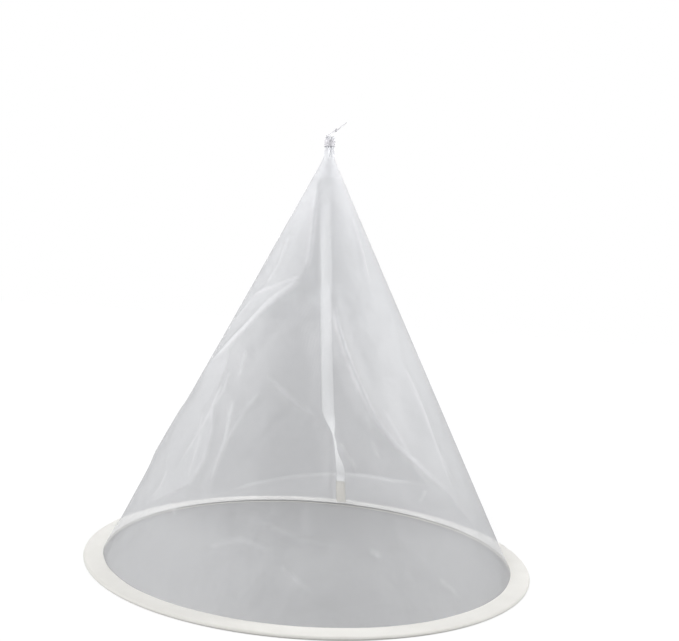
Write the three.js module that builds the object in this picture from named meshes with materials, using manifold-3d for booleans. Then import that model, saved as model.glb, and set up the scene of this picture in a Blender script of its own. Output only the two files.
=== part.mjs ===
// A conical filter net that stands on its mouth: one sheet of fine nylon net sewn into a cone, pinched
// together at the tip, with a flat bound rim that holds a thin hoop.
// Millimetres, +Z up. The origin is the centre of the mouth, on the surface that the rim rests on.
// Angles are degrees round +Z from +X. The seam is at the back, on the +Y side.
import * as THREE from 'three';
import { mergeVertices } from 'three/addons/utils/BufferGeometryUtils.js';
import Module from 'manifold-3d';

// Cloth
const NET_THICKNESS = 0.5;
const TIP_HEIGHT = 353.9;
const TIP_LEAN = -5.6;
const CAVITY_TIP_DROP = 12;

// Pinched tip
const NECK_RADIUS = 3.2;
const NECK_HEIGHT = 8.6;
const NECK_ROUNDING = 1.2;
const NECK_FLARE_HEIGHT = 5;
const GATHER_COUNT = 8;
const GATHER_DEPTH = 0.55;
const GATHER_REACH = 24;

// Bound rim
const RIM_OUTER_RADIUS = 190;
const RIM_WIDTH = 15.7;
const TAPE_THICKNESS = 0.6;
const HOOP_THICKNESS = 1;
const NET_TUCK = 5.5;
const SEWN_GAP = 0.3;
const FOLD_GAP = 0.4;

// Seam
const SEAM_WIDTH = 11;
const SEAM_THICKNESS = 0.6;
const SEAM_NARROW_WIDTH = 4.5;
const SEAM_FOOT_WIDTH = 8.5;
const SEAM_TOP_DROP = 26.3;
const TAB_WIDTH = 10;
const TAB_LENGTH = 27;
const TAB_THICKNESS = 0.6;
const TAB_LAP = 6;

// Thread at the tip
const THREAD_DIAMETER = 0.9;
const WRAP_TURNS = 6;
const WRAP_DROP = 2.1;
const KNOT_RADIUS = 1.4;
const KNOT_FLATNESS = 0.85;
// The thread's free end, as [right, back, up] from the middle of the neck's top. Its second point is the knot.
const TAIL_ROUTE = [[-0.6, -0.9, 3], [4, -0.3, 6], [8.4, 0, 10.3], [12.2, 0, 14.1]];
const TAIL_ROOT_STEP = 0.4;

// Smoothness
const COLUMNS = 72;
const WALL_ROWS = 22;
const WRAP_COLUMNS = 24;
const THREAD_SIDES = 8;
const THREAD_STEPS = 26;

// What follows from the sizes above
const DEGREE = Math.PI / 180;
const RIM_INNER_RADIUS = RIM_OUTER_RADIUS - RIM_WIDTH;
const RIM_THICKNESS = 2 * TAPE_THICKNESS + HOOP_THICKNESS + 2 * SEWN_GAP;
const HOOP_WIDTH = RIM_WIDTH - NET_TUCK - RIM_THICKNESS / 2 - 2 * SEWN_GAP;
const MOUTH_RADIUS = RIM_INNER_RADIUS - SEWN_GAP;
const SLANT = Math.hypot(MOUTH_RADIUS, TIP_HEIGHT - RIM_THICKNESS);
const WALL_SINE = MOUTH_RADIUS / SLANT;
const WALL_COSINE = (TIP_HEIGHT - RIM_THICKNESS) / SLANT;
const NECK_TOP = TIP_HEIGHT + NECK_HEIGHT;
const WRAP_TOP = NECK_TOP - WRAP_DROP;
const SEAM_TOP_SHARE = SEAM_TOP_DROP / (TIP_HEIGHT - RIM_THICKNESS);

// Creases of the standing cloth. Each follows a route of [angle, share of the way down the wall], and
// stands out by height and fades over reach on either side. A negative height is a hollow.
const CREASES = [
  { name: 'dart beside the seam', height: 2.6, reach: 7, route: [[-114, 0.14], [-108, 0.25], [-105, 0.33]] },
  { name: 'hollow beside the dart', height: -2.6, reach: 8, route: [[-92, 0.2], [-96, 0.3], [-100, 0.36]] },
  { name: 'left brow', height: 4.2, reach: 9, route: [[-105, 0.33], [-133, 0.41], [-148, 0.5], [-170, 0.59]] },
  { name: 'upper left brow', height: 1.6, reach: 6, route: [[-107, 0.33], [-144, 0.385]] },
  { name: 'left hollow', height: -3.2, reach: 14, route: [[-112, 0.42], [-132, 0.51], [-142, 0.58]] },
  { name: 'right brow', height: 3.8, reach: 8, route: [[-82, 0.36], [-72, 0.5], [-67, 0.62], [-44, 0.785]] },
  { name: 'hollow in the front', height: -8, reach: 34, route: [[-98, 0.45], [-95, 0.6], [-92, 0.72]] },
  { name: 'right fold', height: 3, reach: 8, route: [[-39, 0.55], [-35, 0.68], [-36, 0.8]] },
  { name: 'lower left fold', height: 4, reach: 8, route: [[-140, 0.57], [-136, 0.67], [-131, 0.8]] },
  { name: 'lower left hollow', height: -4.5, reach: 8, route: [[-130, 0.64], [-127, 0.81]] },
  { name: 'left fold', height: 3, reach: 7, route: [[-130, 0.55], [-124, 0.69], [-124, 0.79]] },
  { name: 'front diagonal', height: 1.3, reach: 5, route: [[-115, 0.546], [-88, 0.618]] },
  { name: 'buckle at the back', height: 3.2, reach: 9, route: [[113, 0.95], [78, 0.9], [44, 0.905]] },
  { name: 'front hollow over the rim', height: -3.4, reach: 14, route: [[-112, 0.83], [-92, 0.82]] },
  { name: 'lower front hollow', height: -3, reach: 12, route: [[-97, 0.865], [-82, 0.88]] },
  { name: 'left shoulder', height: 3, reach: 12, route: [[176, 0.68], [180, 0.78]] },
  { name: 'left waist', height: -2.6, reach: 12, route: [[178, 0.86], [182, 0.92]] },
];
// The creases die out over this share of the wall at the rim and at the tip.
const CREASE_FADE = 0.06;

// The seam wanders a little down the back and turns over on itself low down: [share, angle, width].
const SEAM_COURSE = [
  [0, 94, SEAM_WIDTH],
  [0.28, 87.5, SEAM_WIDTH],
  [0.6, 85, SEAM_WIDTH],
  [0.7, 84, SEAM_WIDTH],
  [0.77, 81.2, SEAM_NARROW_WIDTH],
  [0.86, 79.5, SEAM_FOOT_WIDTH],
  [1, 79.5, SEAM_FOOT_WIDTH],
];

const wasm = await Module();
wasm.setup();

const smooth = (low, high, value) => THREE.MathUtils.smoothstep(value, low, high);

// Where a route point lies on the flat cloth, measured from the tip, with refAngle straight ahead.
function onFlatCloth(angle, share, refAngle) {
  const turn = THREE.MathUtils.euclideanModulo(angle - refAngle + 180, 360) - 180;
  const flatAngle = turn * DEGREE * WALL_SINE;
  return new THREE.Vector2(Math.cos(flatAngle), Math.sin(flatAngle)).multiplyScalar(share * SLANT);
}

function distanceToSegment(point, start, end) {
  const along = end.clone().sub(start);
  const share = THREE.MathUtils.clamp(point.clone().sub(start).dot(along) / along.lengthSq(), 0, 1);
  return point.distanceTo(start.clone().addScaledVector(along, share));
}

function creaseHeight(crease, angle, share) {
  const refAngle = crease.route[0][0];
  const here = onFlatCloth(angle, share, refAngle);
  const stops = crease.route.map(([stopAngle, stopShare]) => onFlatCloth(stopAngle, stopShare, refAngle));
  let nearest = Infinity;
  for (let i = 1; i < stops.length; i += 1) {
    nearest = Math.min(nearest, distanceToSegment(here, stops[i - 1], stops[i]));
  }
  return crease.height / (1 + (nearest / crease.reach) ** 2) ** 2;
}

// How far the wall stands out of the plain cone.
function wallRelief(angle, share) {
  const total = CREASES.reduce((sum, crease) => sum + creaseHeight(crease, angle, share), 0);
  return total * smooth(0, CREASE_FADE, share) * smooth(0, CREASE_FADE, 1 - share);
}

// Moves each point of a turned shape from the upright cone to the leaning, creased and gathered one.
function dressTurnedShape(geometry) {
  const places = geometry.getAttribute('position');
  for (let i = 0; i < places.count; i += 1) {
    const radius = Math.hypot(places.getX(i), places.getY(i));
    const angle = Math.atan2(places.getY(i), places.getX(i));
    const height = places.getZ(i);
    const share = (TIP_HEIGHT - height) / (TIP_HEIGHT - RIM_THICKNESS);
    const onWall = radius > NET_THICKNESS && share < 1;
    const relief = onWall ? wallRelief(angle / DEGREE, share) : 0;
    const gatherFade = smooth(0, GATHER_REACH, height - TIP_HEIGHT + GATHER_REACH);
    const gather = onWall ? GATHER_DEPTH * gatherFade * Math.cos(GATHER_COUNT * angle) : 0;
    const newRadius = radius + relief * WALL_COSINE + gather * Math.min(1, radius / NECK_RADIUS);
    const lean = TIP_LEAN * (1 - THREE.MathUtils.clamp(share, -1, 1));
    const newHeight = height + relief * WALL_SINE;
    places.setXYZ(i, newRadius * Math.cos(angle) + lean, newRadius * Math.sin(angle), newHeight);
  }
  geometry.computeVertexNormals();
  return geometry;
}

// A profile of [radius, height] turned round +Z.
function turned(profile, columns = COLUMNS) {
  const points = profile.map(([radius, height]) => new THREE.Vector2(radius, height));
  const geometry = new THREE.LatheGeometry(points, columns);
  geometry.rotateX(Math.PI / 2);
  return geometry;
}

function asMesh(name, geometry, material) {
  const mesh = new THREE.Mesh(geometry, material);
  mesh.name = name;
  return mesh;
}

function fabric(color, roughness) {
  return new THREE.MeshStandardMaterial({ color, roughness, metalness: 0, side: THREE.DoubleSide });
}

const netMaterial = fabric(0xd9dadd, 0.6);
const seamMaterial = fabric(0xe6e6e6, 0.65);
const tapeMaterial = fabric(0xefebe0, 0.85);
const hoopMaterial = fabric(0xdcdcd8, 0.4);
const threadMaterial = fabric(0xe4e2ec, 0.7);

// Share of the way down the wall at each row, closer together near the rim.
function rowShares(first, last, rows) {
  const stops = Array.from({ length: rows + 1 }, (_, row) => Math.sin((row / rows) * 90 * DEGREE));
  return stops.map((stop) => first + (last - first) * stop);
}

const heightAtShare = (share) => TIP_HEIGHT - share * (TIP_HEIGHT - RIM_THICKNESS);

// The outer side of the wall meets the neck where the cone is as wide as the neck.
const NECK_SHARE = NECK_RADIUS / MOUTH_RADIUS + NECK_FLARE_HEIGHT / TIP_HEIGHT;
const TAB_FOOT_SHARE = 1 - (SEWN_GAP + TAPE_THICKNESS) / SLANT;
const TAB_TOP_SHARE = TAB_FOOT_SHARE - TAB_LENGTH / SLANT;
const SEAM_FOOT_SHARE = TAB_TOP_SHARE + TAB_LAP / SLANT;
const STRIP_ENDS = [SEAM_TOP_SHARE, TAB_TOP_SHARE, SEAM_FOOT_SHARE, TAB_FOOT_SHARE];
const WALL_SHARES = [...rowShares(NECK_SHARE, 1, WALL_ROWS), ...STRIP_ENDS].sort((a, b) => a - b);
const INNER_SETBACK = NET_THICKNESS / WALL_COSINE;

function netCone() {
  const tuckMiddle = RIM_THICKNESS / 2;
  const tuckRadius = RIM_INNER_RADIUS + NET_TUCK;
  const cavityShares = WALL_SHARES.filter((share) => share * SLANT > CAVITY_TIP_DROP + NECK_RADIUS);
  const inner = cavityShares.map((share) => [share * MOUTH_RADIUS - INNER_SETBACK, heightAtShare(share)]);
  const outer = WALL_SHARES.map((share) => [share * MOUTH_RADIUS, heightAtShare(share)]).reverse();
  const tuck = [
    [MOUTH_RADIUS - NET_THICKNESS, tuckMiddle - NET_THICKNESS / 2],
    [tuckRadius, tuckMiddle - NET_THICKNESS / 2],
    [tuckRadius, tuckMiddle + NET_THICKNESS / 2],
    [MOUTH_RADIUS, tuckMiddle + NET_THICKNESS / 2],
  ];
  const neck = [
    [NECK_RADIUS, TIP_HEIGHT - NECK_RADIUS],
    [NECK_RADIUS, NECK_TOP - NECK_ROUNDING],
    [NECK_RADIUS - NECK_ROUNDING, NECK_TOP],
    [0, NECK_TOP],
  ];
  const profile = [[0, TIP_HEIGHT - CAVITY_TIP_DROP], ...inner, ...tuck, ...outer, ...neck];
  return asMesh('net_cone', dressTurnedShape(turned(profile)), netMaterial);
}

// The tape is folded round the hoop, with its fold outside and its two edges at the net.
function rimBinding() {
  const foldRadius = RIM_THICKNESS / 2;
  const fold = [];
  for (let turn = -90; turn <= 90; turn += 45) {
    fold.push([
      RIM_OUTER_RADIUS - foldRadius + foldRadius * Math.cos(turn * DEGREE),
      foldRadius + foldRadius * Math.sin(turn * DEGREE),
    ]);
  }
  const pocketEnd = RIM_OUTER_RADIUS - foldRadius;
  const profile = [
    [RIM_INNER_RADIUS, 0],
    ...fold,
    [RIM_INNER_RADIUS, RIM_THICKNESS],
    [RIM_INNER_RADIUS, RIM_THICKNESS - TAPE_THICKNESS],
    [pocketEnd, RIM_THICKNESS - TAPE_THICKNESS],
    [pocketEnd + FOLD_GAP, foldRadius],
    [pocketEnd, TAPE_THICKNESS],
    [RIM_INNER_RADIUS, TAPE_THICKNESS],
    [RIM_INNER_RADIUS, 0],
  ];
  return asMesh('rim_binding', turned(profile), tapeMaterial);
}

function rimHoop() {
  const outside = RIM_OUTER_RADIUS - RIM_THICKNESS / 2 - SEWN_GAP;
  const inside = outside - HOOP_WIDTH;
  const bottom = TAPE_THICKNESS + SEWN_GAP;
  const top = bottom + HOOP_THICKNESS;
  const profile = [[inside, bottom], [outside, bottom], [outside, top], [inside, top], [inside, bottom]];
  return asMesh('rim_hoop', turned(profile), hoopMaterial);
}

// A point on the inner side of the wall, set back from it by inset.
function insideWall(angle, share, inset) {
  const relief = wallRelief(angle, share);
  const setback = INNER_SETBACK + inset / WALL_COSINE;
  const radius = share * MOUTH_RADIUS - setback + relief * WALL_COSINE;
  const lean = TIP_LEAN * (1 - share);
  return new THREE.Vector3(
    radius * Math.cos(angle * DEGREE) + lean,
    radius * Math.sin(angle * DEGREE),
    heightAtShare(share) + relief * WALL_SINE,
  );
}

function seamAt(share) {
  const next = Math.max(1, SEAM_COURSE.findIndex(([stopShare]) => stopShare >= share));
  const [startShare, startAngle, startWidth] = SEAM_COURSE[next - 1];
  const [endShare, endAngle, endWidth] = SEAM_COURSE[next];
  const step = (share - startShare) / (endShare - startShare);
  return {
    angle: THREE.MathUtils.lerp(startAngle, endAngle, step),
    width: THREE.MathUtils.lerp(startWidth, endWidth, step),
  };
}

// A closed solid through a row of loops of the same number of points. In each loop the second half of the
// points runs back beside the first half.
function lofted(loops) {
  const size = loops[0].length;
  const places = loops.flat().flatMap((point) => point.toArray());
  const faces = [];
  for (let loop = 1; loop < loops.length; loop += 1) {
    for (let i = 0; i < size; i += 1) {
      const a = (loop - 1) * size + i;
      const b = (loop - 1) * size + ((i + 1) % size);
      faces.push(a, a + size, b, b, a + size, b + size);
    }
  }
  const last = (loops.length - 1) * size;
  for (let i = 0; i < size / 2 - 1; i += 1) {
    const [a, b, c, d] = [i, i + 1, size - 2 - i, size - 1 - i];
    faces.push(a, b, c, a, c, d, last + a, last + c, last + b, last + a, last + d, last + c);
  }
  const geometry = new THREE.BufferGeometry();
  geometry.setAttribute('position', new THREE.Float32BufferAttribute(places, 3));
  geometry.setIndex(faces);
  geometry.computeVertexNormals();
  return geometry;
}

// A flat strip that lies on the inner side of the wall.
function wallStrip(shares, widthAt, inset, thickness) {
  const loops = shares.map((share) => {
    const { angle } = seamAt(share);
    const halfTurn = widthAt(share) / 2 / (share * MOUTH_RADIUS - INNER_SETBACK) / DEGREE;
    const turns = [-halfTurn, 0, halfTurn];
    const outerSide = turns.map((turn) => insideWall(angle + turn, share, inset));
    const innerSide = turns.map((turn) => insideWall(angle + turn, share, inset + thickness));
    return [...outerSide, ...innerSide.reverse()];
  });
  return lofted(loops);
}

function seamStrip() {
  const shares = WALL_SHARES.filter((share) => share >= SEAM_TOP_SHARE && share <= SEAM_FOOT_SHARE);
  const geometry = wallStrip(shares, (share) => seamAt(share).width, FOLD_GAP, SEAM_THICKNESS);
  return asMesh('seam_strip', geometry, seamMaterial);
}

function seamTab() {
  const shares = WALL_SHARES.filter((share) => share >= TAB_TOP_SHARE && share <= TAB_FOOT_SHARE);
  const inset = FOLD_GAP + SEAM_THICKNESS + SEWN_GAP;
  return asMesh('seam_tab', wallStrip(shares, () => TAB_WIDTH, inset, TAB_THICKNESS), tapeMaterial);
}

function asSolid(geometry) {
  const bare = geometry.clone();
  bare.deleteAttribute('normal');
  bare.deleteAttribute('uv');
  const merged = mergeVertices(bare);
  const vertProperties = new Float32Array(merged.getAttribute('position').array);
  const triVerts = new Uint32Array(merged.getIndex().array);
  return new wasm.Manifold(new wasm.Mesh({ numProp: 3, vertProperties, triVerts }));
}

function asGeometry(solid) {
  const { vertProperties, triVerts } = solid.getMesh();
  const geometry = new THREE.BufferGeometry();
  geometry.setAttribute('position', new THREE.BufferAttribute(new Float32Array(vertProperties), 3));
  geometry.setIndex(new THREE.BufferAttribute(new Uint32Array(triVerts), 1));
  geometry.computeVertexNormals();
  return geometry;
}

// The turns lie side by side round the neck, and the end of the thread stands up past a small knot.
function apexThread() {
  const threadRadius = THREAD_DIAMETER / 2;
  const innerRadius = NECK_RADIUS + GATHER_DEPTH + SEWN_GAP;
  const wrapHeight = WRAP_TURNS * THREAD_DIAMETER;
  const profile = [[innerRadius, WRAP_TOP], [innerRadius, WRAP_TOP - wrapHeight]];
  for (let turn = 0; turn < WRAP_TURNS; turn += 1) {
    const low = WRAP_TOP - wrapHeight + turn * THREAD_DIAMETER;
    profile.push([innerRadius + threadRadius, low], [innerRadius + THREAD_DIAMETER, low + threadRadius]);
  }
  profile.push([innerRadius + threadRadius, WRAP_TOP], [innerRadius, WRAP_TOP]);
  const wrap = turned(profile, WRAP_COLUMNS);
  const neckLean = TIP_LEAN * (1 + (WRAP_TOP - wrapHeight / 2 - TIP_HEIGHT) / TIP_HEIGHT);
  wrap.translate(neckLean, 0, 0);

  const side = neckLean - innerRadius - threadRadius;
  const tailPoints = TAIL_ROUTE.map(([x, y, z]) => new THREE.Vector3(neckLean + x, y, NECK_TOP + z));
  const route = new THREE.CatmullRomCurve3([
    new THREE.Vector3(side, 0, WRAP_TOP - THREAD_DIAMETER),
    new THREE.Vector3(side + TAIL_ROOT_STEP, -TAIL_ROOT_STEP, NECK_TOP + TAIL_ROOT_STEP),
    ...tailPoints,
  ]);
  const section = new THREE.Shape();
  section.absarc(0, 0, threadRadius, 0, 2 * Math.PI);
  const tail = new THREE.ExtrudeGeometry(section, {
    steps: THREAD_STEPS,
    curveSegments: THREAD_SIDES,
    extrudePath: route,
  });
  const knot = new THREE.SphereGeometry(KNOT_RADIUS, THREAD_SIDES + 4, THREAD_SIDES);
  knot.scale(1, KNOT_FLATNESS, KNOT_FLATNESS);
  knot.translate(...tailPoints[1].toArray());
  const joined = asSolid(wrap).add(asSolid(tail)).add(asSolid(knot));
  return asMesh('apex_thread', asGeometry(joined), threadMaterial);
}

const group = new THREE.Group();
group.add(netCone(), seamStrip(), seamTab(), rimBinding(), rimHoop(), apexThread());

export default group;
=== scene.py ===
"""A conical filter net on its bound rim: the looks of every piece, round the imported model."""
import math
import bpy
import numpy as np
from mathutils import Matrix, Vector


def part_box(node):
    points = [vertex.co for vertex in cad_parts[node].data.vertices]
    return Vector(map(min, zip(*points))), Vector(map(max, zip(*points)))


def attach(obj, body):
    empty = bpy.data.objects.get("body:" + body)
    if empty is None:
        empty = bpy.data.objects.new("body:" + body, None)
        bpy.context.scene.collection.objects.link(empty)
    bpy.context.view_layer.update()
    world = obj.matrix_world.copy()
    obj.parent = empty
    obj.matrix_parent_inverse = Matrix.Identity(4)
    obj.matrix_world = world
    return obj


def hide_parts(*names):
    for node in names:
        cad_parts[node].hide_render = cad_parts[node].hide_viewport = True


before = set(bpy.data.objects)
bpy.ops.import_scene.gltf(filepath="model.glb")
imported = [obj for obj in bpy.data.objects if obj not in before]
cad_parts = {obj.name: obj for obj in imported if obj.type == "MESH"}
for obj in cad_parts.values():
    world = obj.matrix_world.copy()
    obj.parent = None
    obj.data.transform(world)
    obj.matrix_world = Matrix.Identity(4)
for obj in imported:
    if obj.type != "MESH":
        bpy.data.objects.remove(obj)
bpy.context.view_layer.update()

MM = 0.001

# The camera, as fitted to the rim's ellipses and the cone's sides
LENS = 45.0
SENSOR = 36.0
CAMERA_PLACE = (0.0, -0.7395, 0.2276)
CAMERA_RIGHT = (0.99754, -0.01578, 0.06827)
CAMERA_UP = (-0.06775, 0.03175, 0.99720)

# The rim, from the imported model
rim_low, rim_high = (np.array(corner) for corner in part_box("rim_binding"))
RIM_OUTER = (rim_high[0] - rim_low[0]) / 2
RIM_THICK = rim_high[2] - rim_low[2]
RIM_WIDTH = 15.7 * MM
RIM_INNER = RIM_OUTER - RIM_WIDTH
TAPE = 0.6 * MM

# The cone of net. Its mouth lies just inside the tape's inner edge.
TIP_HEIGHT = 353.9 * MM
TIP_LEAN = -5.6 * MM
MOUTH = RIM_INNER - 0.3 * MM
DROP = TIP_HEIGHT - RIM_THICK
SLANT = math.hypot(MOUTH, DROP)
WALL_SINE = MOUTH / SLANT
WALL_COSINE = DROP / SLANT

# The net's grid: columns round and rows down, from a first row near the tip down to the rim
NET_COLUMNS = 240
NET_ROWS = 90
FIRST_SHARE = 0.028
COLUMN_ANGLES = np.arange(NET_COLUMNS) * 360 / NET_COLUMNS
LAST_ROW = NET_ROWS - 1.001

# Creases: height and reach in millimetres, how sharp a fold runs along the top, 0 for none, and a route
# of (angle in degrees, share of the way down)
CREASES = [
    (3.0, 3.5, 0.9, [(-118, 0.099), (-106, 0.2), (-104, 0.273), (-105, 0.33)]),
    (-2.6, 6, 0, [(-98, 0.15), (-97, 0.248), (-95, 0.341)]),
    (6.0, 5, 1.4, [(-105, 0.33), (-128, 0.387), (-140, 0.454), (-151, 0.516), (-160, 0.555)]),
    (2.4, 3, 0.7, [(-105, 0.325), (-131, 0.353), (-153, 0.384)]),
    (2.0, 3, 0.4, [(-148, 0.386), (-161, 0.449)]),
    (-2.0, 9, 0, [(-103, 0.366), (-118, 0.438), (-127, 0.508), (-135, 0.568)]),
    (6.0, 5, 1.5, [(-82, 0.366), (-79, 0.438), (-74, 0.506), (-69, 0.568), (-65, 0.624),
                   (-58, 0.677), (-49, 0.731), (-40, 0.786)]),
    (-6.0, 8, 0, [(-77, 0.544), (-72, 0.614), (-63, 0.684)]),
    (-9.0, 32, 0, [(-101, 0.444), (-93, 0.548), (-90, 0.648), (-88, 0.724)]),
    (2.4, 3, 0.25, [(-68, 0.574), (-67, 0.648)]),
    (1.8, 3, 0.2, [(-67, 0.664), (-65, 0.707)]),
    (4.0, 5, 0.35, [(-39, 0.554), (-37, 0.619), (-37, 0.672), (-37, 0.735), (-37, 0.791)]),
    (-3.0, 7, 0, [(-50, 0.584), (-48, 0.668)]),
    (5.0, 5, 0.5, [(-137, 0.576), (-136, 0.63), (-132, 0.674), (-130, 0.735), (-131, 0.801)]),
    (-6.0, 5, 0, [(-129, 0.661), (-127, 0.752), (-127, 0.802)]),
    (3.0, 4, 0.35, [(-132, 0.499), (-129, 0.564)]),
    (4.0, 4, 0.5, [(-127, 0.602), (-124, 0.688), (-124, 0.723), (-124, 0.788)]),
    (1.2, 2.2, 0.35, [(-115, 0.546), (-99, 0.591), (-88, 0.619)]),
    (2.5, 3, 0.3, [(-142, 0.644), (-136, 0.7), (-133, 0.79)]),
    (4.0, 5, 1.6, [(121, 0.968), (108, 0.942), (89, 0.913), (76, 0.902), (59, 0.901), (41, 0.89)]),
    (3.0, 4, 0.5, [(44, 0.906), (49, 0.958)]),
    (-4.0, 9, 0, [(-110, 0.831), (-93, 0.818)]),
    (-3.5, 8, 0, [(-95, 0.876), (-84, 0.864)]),
    (2.4, 7, 0, [(-85, 0.953), (-73, 0.937)]),
    (2.4, 7, 0, [(-64, 0.912), (-49, 0.915)]),
    (1.5, 2, 0.4, [(-137, 0.839), (-132, 0.846)]),
    (1.5, 2, 0.4, [(-73, 0.87), (-70, 0.883)]),
    (1.5, 6, 0, [(-32, 0.376), (-36, 0.467)]),
    (2.0, 3, 0.35, [(-138, 0.536), (-134, 0.594), (-137, 0.668), (-142, 0.77)]),
    (2.0, 3, 0.35, [(-115, 0.574), (-120, 0.627), (-123, 0.687), (-125, 0.75), (-127, 0.797)]),
    (1.8, 3, 0.3, [(-60, 0.6), (-55, 0.665), (-52, 0.726), (-47, 0.769)]),
    (1.8, 3, 0.3, [(-40, 0.504), (-37, 0.598), (-37, 0.694), (-32, 0.785)]),
    (-2.2, 4, 0, [(-117, 0.897), (-108, 0.874), (-96, 0.891)]),
    (1.6, 3, 0.25, [(-118, 0.892), (-109, 0.866), (-98, 0.879)]),
    (1.6, 3, 0.25, [(-97, 0.901), (-92, 0.926), (-88, 0.948)]),
    (1.6, 3, 0.2, [(-105, 0.826), (-92, 0.853), (-81, 0.861)]),
    (1.4, 3, 0.25, [(-54, 0.932), (-50, 0.958), (-48, 0.983)]),
    (1.8, 3, 0.3, [(-147, 0.777), (-146, 0.815), (-149, 0.845)]),
    (1.6, 3, 0.3, [(-80, 0.665), (-76, 0.703), (-75, 0.729)]),
    (1.5, 3, 0.3, [(-41, 0.166), (-44, 0.25), (-49, 0.344)]),
    (1.5, 3, 0.3, [(-138, 0.226), (-135, 0.293), (-140, 0.366)]),
    (3.0, 10, 0, [(176, 0.68), (180, 0.78)]),
    (-2.6, 10, 0, [(178, 0.86), (182, 0.92)]),
]
# The share of the way down over which creases die out at the tip and at the rim
CREASE_FADE = 0.06

# A sharp fold: its half width and how far it stands up in millimetres, how many more layers of net a line
# of sight crosses in it, the parts of its route over which it starts and ends, and how far and how fast
# its strength wavers along the route
FOLD_REACH = 1.9
FOLD_RISE = 0.35
FOLD_CROWD = 1.1
FOLD_ENDS = (0.12, 0.3)
FOLD_WAVER = 0.15
FOLD_WAVES = 9

# The front panel between two folds is thinned so that more grey shows through it, as painted shade:
# share of the way down, and the angles of its left and right edges
PAINTED_SHADE_PANEL = [
    (0.33, -105, -84),
    (0.4, -128, -80),
    (0.454, -138, -78),
    (0.506, -145, -74),
    (0.568, -140, -69),
    (0.624, -136, -65),
    (0.677, -132, -58),
    (0.731, -130, -49),
    (0.786, -131, -40),
    (0.86, -150, -30),
]
# How many layers the painted shade takes off there, how soft its sides are in degrees, the share of the
# way down over which it starts, and the shares between which it ends
PAINTED_SHADE_LAYERS = 0.36
PAINTED_SHADE_EDGE = 1.1
PAINTED_SHADE_START = 0.08
PAINTED_SHADE_END = (0.8, 0.9)

# Settling of the cloth: its cut length against the plain cone's, the number of steps, and the pulls
# between points as (rows apart, columns apart, how hard)
REST_SCALE = 1.002
SETTLE_STEPS = 160
SETTLE_PULLS = [(0, 1, 0.5), (1, 0, 0.5), (1, 1, 0.25), (1, -1, 0.25), (0, 2, 0.06), (2, 0, 0.06)]

# The gathered tip, from the top down: height, radius and pleat depth in millimetres
NECK_PROFILE = [
    (363.2, 3.9, 0.5),
    (361.6, 3.4, 0.45),
    (360.4, 3.1, 0.4),
    (357.6, 3.1, 0.35),
    (354.8, 3.1, 0.4),
    (352.6, 3.4, 0.5),
    (350.2, 3.9, 0.5),
    (347.4, 4.4, 0.35),
]
# The pleats round it, how ragged its top is in millimetres, and the seed of that
NECK_PLEATS = (8, 13)
RAGGED_TOP = 1.6
RAGGED_SEED = 7

# The net's edge in the tape: how far outside the wall and how high, in millimetres
NET_TUCK = [(0.2, 1.6), (5.0, 1.4)]

# The flat cloth: the angle from which it is laid out, and the shares of the way down of its first row and
# of the rows in the tape
FLAT_START = 84
NECK_SHARE = 0.005
TUCK_SHARES = [1.004, 1.015]

# How many more layers of net a line of sight crosses than on the plain wall, and the shares of the way
# down between which that comes in
GATHERS = [(5, 0.09, 0.01), (0.6, 0.3, 0.05), (-0.12, 0.35, 0.9)]

# The seam: share of the way down, angle in degrees and width in millimetres
SEAM_FOOT = 79.5
SEAM_COURSE = [
    (0.0, 95, 11),
    (0.12, 93.4, 11),
    (0.27, 87.2, 11),
    (0.38, 86.6, 10.5),
    (0.6, 85, 12),
    (0.7, 84.4, 12.5),
    (0.77, 81.3, 11),
    (0.86, SEAM_FOOT, 9),
    (1.0, SEAM_FOOT, 9.5),
]
SEAM_SPAN = (0.045, 0.935)
SEAM_STATIONS = 190
SEAM_THICKNESS = 0.5 * MM
# How far its strip lies from the net, how much more where it isn't held, and how often that comes
SEAM_LIFT = 0.5 * MM
SEAM_SLACK = 0.25 * MM
SEAM_WAVES = 60
# Low down it folds up on edge: the shares where that starts, is full, eases and ends, and its turn
SEAM_FOLD = (0.7, 0.76, 0.8, 0.9)
SEAM_FOLD_TURN = math.radians(62)

# The tape's end over the seam's foot
TAB_SPAN = (0.925, 0.992)
TAB_STATIONS = 24
TAB_WIDTH = 10 * MM
TAB_THICKNESS = 0.6 * MM
TAB_LIFT = 1.3 * MM

# Points across each side of a flat strip
RIBBON_POINTS = 9

# The seam's two rows of stitches: where they run, their distance from the seam's middle, their pitch,
# how far they stand up and the thread's radius
SEAM_STITCH_SPAN = (0.06, 0.975)
SEAM_STITCH_ASIDE = 3.6 * MM
SEAM_STITCH_PITCH = 2.6 * MM
SEAM_STITCH_BOW = 0.16 * MM
SEAM_STITCH_RADIUS = 0.13 * MM

# Stitches along the rim: the groove that they pull into the tape, the half length of each as a share of
# the pitch, how far its ends dip below the groove and its middle rises from there, and the thread's radius
STITCH_COUNT = 320
STITCH_RADIUS = RIM_INNER + 2.4 * MM
STITCH_GROOVE = 0.9 * MM
STITCH_SINK = 0.3 * MM
STITCH_HALF = 0.38
STITCH_DIP = 0.22 * MM
STITCH_BOW = 0.28 * MM
STITCH_THREAD = 0.2 * MM

# The rim's tape: how far its inner edge wanders, how much its upper face is arched and rippled, and the
# lap of its ends as angles in degrees, the width of the lap's edges and its rise
TAPE_DRIFT = 0.25 * MM
TAPE_CROWN = 0.22 * MM
TAPE_RIPPLE = 0.09 * MM
TAPE_LAP = (74.0, SEAM_FOOT)
TAPE_LAP_EDGE = 0.6
TAPE_LAP_RISE = 0.45 * MM
# The part of its width that is flat, the points across that, and how far the pocket in its fold is rounded
TAPE_FLAT = (0.04, 0.86)
TAPE_POINTS = 14
TAPE_POCKET = 0.4 * MM

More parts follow.
